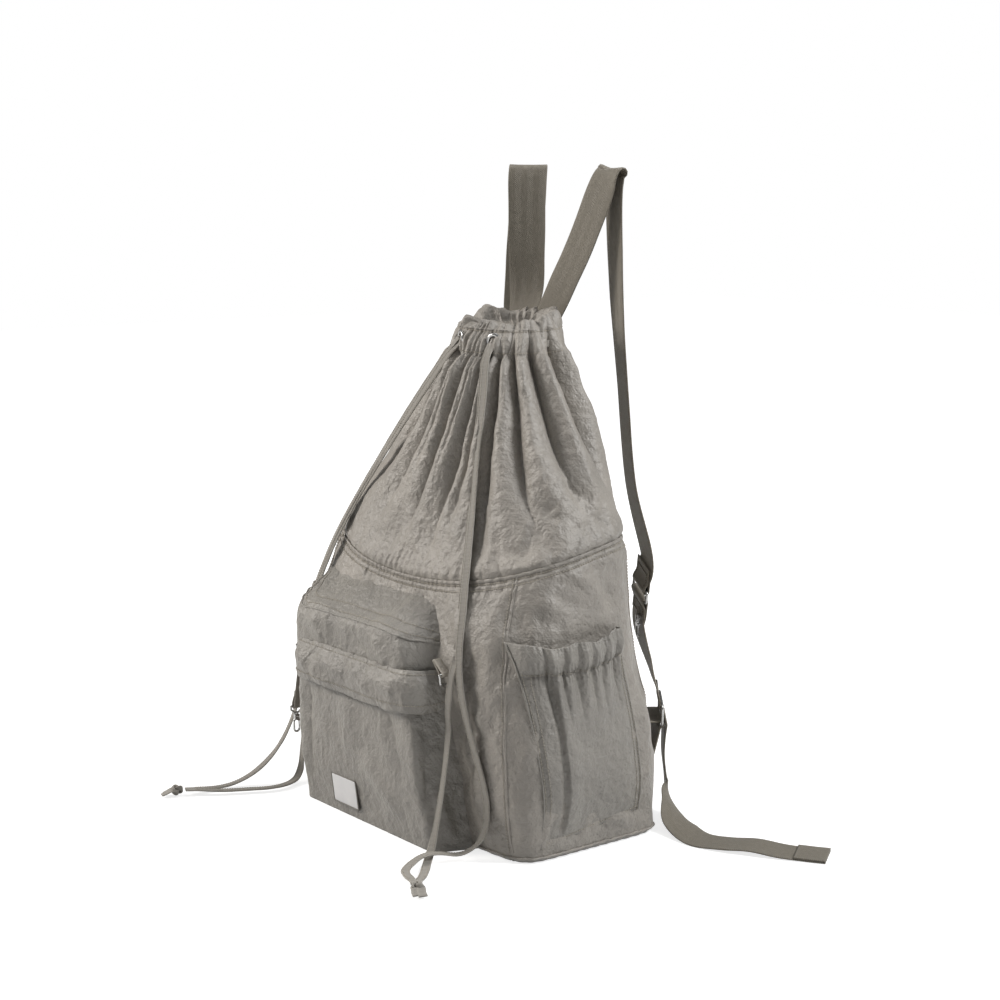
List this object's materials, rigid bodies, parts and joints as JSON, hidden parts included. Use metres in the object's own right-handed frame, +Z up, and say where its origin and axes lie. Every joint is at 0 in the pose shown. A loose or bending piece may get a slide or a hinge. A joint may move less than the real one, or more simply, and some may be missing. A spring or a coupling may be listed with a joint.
{
  "type": "drawstring backpack",
  "caption": "Soft drawstring backpack with a gathered mouth, a zipped front pocket, side pockets, shoulder straps and clip hardware.",
  "frame": {"origin": "on the floor under the middle of the flat base", "axes": "+Z up, front pocket towards -Y, the wearer's back towards +Y"},
  "size_m": [0.7114, 0.4198, 0.6465],
  "materials": {
    "shell_cloth": "satin",
    "webbing": "matte",
    "cord_tape": "matte",
    "zip_tape": "matte",
    "elastic": "matte",
    "hardware_metal": "satin",
    "label_plate": "matte",
    "label_frame": "matte"
  },
  "bodies": {
    "bag": {"anchor_webbing_left": "webbing", "anchor_webbing_right": "webbing", "back_panel": "shell_cloth", "base_panel": "shell_cloth", "clasp_loop_left": "webbing", "clasp_loop_right": "webbing", "d_ring_tab_left": "webbing", "d_ring_tab_right": "webbing", "drawcord_channel": "shell_cloth", "drawcord_knot_left": "cord_tape", "drawcord_knot_right": "cord_tape", "drawcord_left_a": "cord_tape", "drawcord_left_b": "cord_tape", "drawcord_right_a": "cord_tape", "drawcord_right_b": "cord_tape", "drawcord_run_left": "cord_tape", "drawcord_run_right": "cord_tape", "elastic_band_left": "elastic", "elastic_band_right": "elastic", "eyelet_left": "hardware_metal", "eyelet_right": "hardware_metal", "front_panel": "shell_cloth", "front_pocket": "shell_cloth", "label_frame": "label_frame", "label_plate": "label_plate", "lower_strap_left": "webbing", "lower_strap_right": "webbing", "mouth_ruffle": "shell_cloth", "pocket_placket": "shell_cloth", "side_panel_left": "shell_cloth", "side_panel_right": "shell_cloth", "side_pocket_left": "shell_cloth", "side_pocket_right": "shell_cloth", "strap_ring_left": "hardware_metal", "strap_ring_right": "hardware_metal", "triglide_left": "hardware_metal", "triglide_right": "hardware_metal", "upper_body": "shell_cloth", "upper_strap_left": "webbing", "upper_strap_right": "webbing", "zip_tape_lower": "zip_tape", "zip_tape_upper": "zip_tape"},
    "zip_slider": {"zip_slider": "hardware_metal"},
    "zip_pull": {"zip_pull": "hardware_metal"},
    "d_ring_right": {"d_ring_right": "hardware_metal"},
    "d_ring_left": {"d_ring_left": "hardware_metal"},
    "key_strap": {"key_strap": "webbing"},
    "key_clasp_eye": {"key_clasp_eye": "hardware_metal"},
    "key_clasp_hook": {"key_clasp_hook": "hardware_metal"},
    "key_clasp_gate": {"key_clasp_gate": "hardware_metal"},
    "strap_clasp_right": {"strap_clasp_right": "hardware_metal"},
    "strap_clasp_gate_right": {"strap_clasp_gate_right": "hardware_metal"},
    "strap_clasp_left": {"strap_clasp_left": "hardware_metal"},
    "strap_clasp_gate_left": {"strap_clasp_gate_left": "hardware_metal"}
  },
  "joints": [
    {"name": "zip_slide", "type": "slide", "parent": "bag", "child": "zip_slider", "axis": [1, 0, 0], "range_m": [-0.134, 0]},
    {"name": "zip_pull_tilt", "type": "hinge", "parent": "zip_slider", "child": "zip_pull", "pos_m": [0.0425, -0.1417, 0.149], "axis": [0, 0, 1], "range_deg": [0, 6]},
    {"name": "d_ring_right_swing", "type": "hinge", "parent": "bag", "child": "d_ring_right", "pos_m": [0.10248, -0.1136, 0.1715], "axis": [0, 1, 0], "range_deg": [-25, 40]},
    {"name": "d_ring_left_swing", "type": "hinge", "parent": "bag", "child": "d_ring_left", "pos_m": [-0.14348, -0.118, 0.1555], "axis": [0, 1, 0], "range_deg": [-5, 35]},
    {"name": "key_strap_swing", "type": "hinge", "parent": "d_ring_left", "child": "key_strap", "pos_m": [-0.14348, -0.118, 0.146], "axis": [0, 1, 0], "range_deg": [-5, 40]},
    {"name": "key_clasp_swing", "type": "hinge", "parent": "key_strap", "child": "key_clasp_eye", "pos_m": [-0.15637, -0.118, 0.08536], "axis": [0, 1, 0], "range_deg": [-10, 35]},
    {"name": "key_clasp_swivel", "type": "hinge", "parent": "key_clasp_eye", "child": "key_clasp_hook", "pos_m": [-0.15637, -0.118, 0.08536], "axis": [0, 0, 1], "continuous": true},
    {"name": "key_gate", "type": "hinge", "parent": "key_clasp_hook", "child": "key_clasp_gate", "pos_m": [-0.15637, -0.11536, 0.06986], "axis": [-1, 0, 0], "range_deg": [0, 22], "stiffness_Nm_per_rad": 0.01},
    {"name": "strap_clasp_right_swing", "type": "hinge", "parent": "bag", "child": "strap_clasp_right", "pos_m": [0.11874, 0.11417, 0.20093], "axis": [0.9135, -0.4067, 0], "range_deg": [-40, 5]},
    {"name": "strap_gate_right", "type": "hinge", "parent": "strap_clasp_right", "child": "strap_clasp_gate_right", "pos_m": [0.12115, 0.1131, 0.19043], "axis": [0.4067, 0.9135, 0], "range_deg": [0, 22], "stiffness_Nm_per_rad": 0.01},
    {"name": "strap_clasp_left_swing", "type": "hinge", "parent": "bag", "child": "strap_clasp_left", "pos_m": [-0.11874, 0.11417, 0.20093], "axis": [0.9135, 0.4067, 0], "range_deg": [-40, 5]},
    {"name": "strap_gate_left", "type": "hinge", "parent": "strap_clasp_left", "child": "strap_clasp_gate_left", "pos_m": [-0.12115, 0.1131, 0.19043], "axis": [0.4067, -0.9135, 0], "range_deg": [0, 22], "stiffness_Nm_per_rad": 0.01}
  ]
}
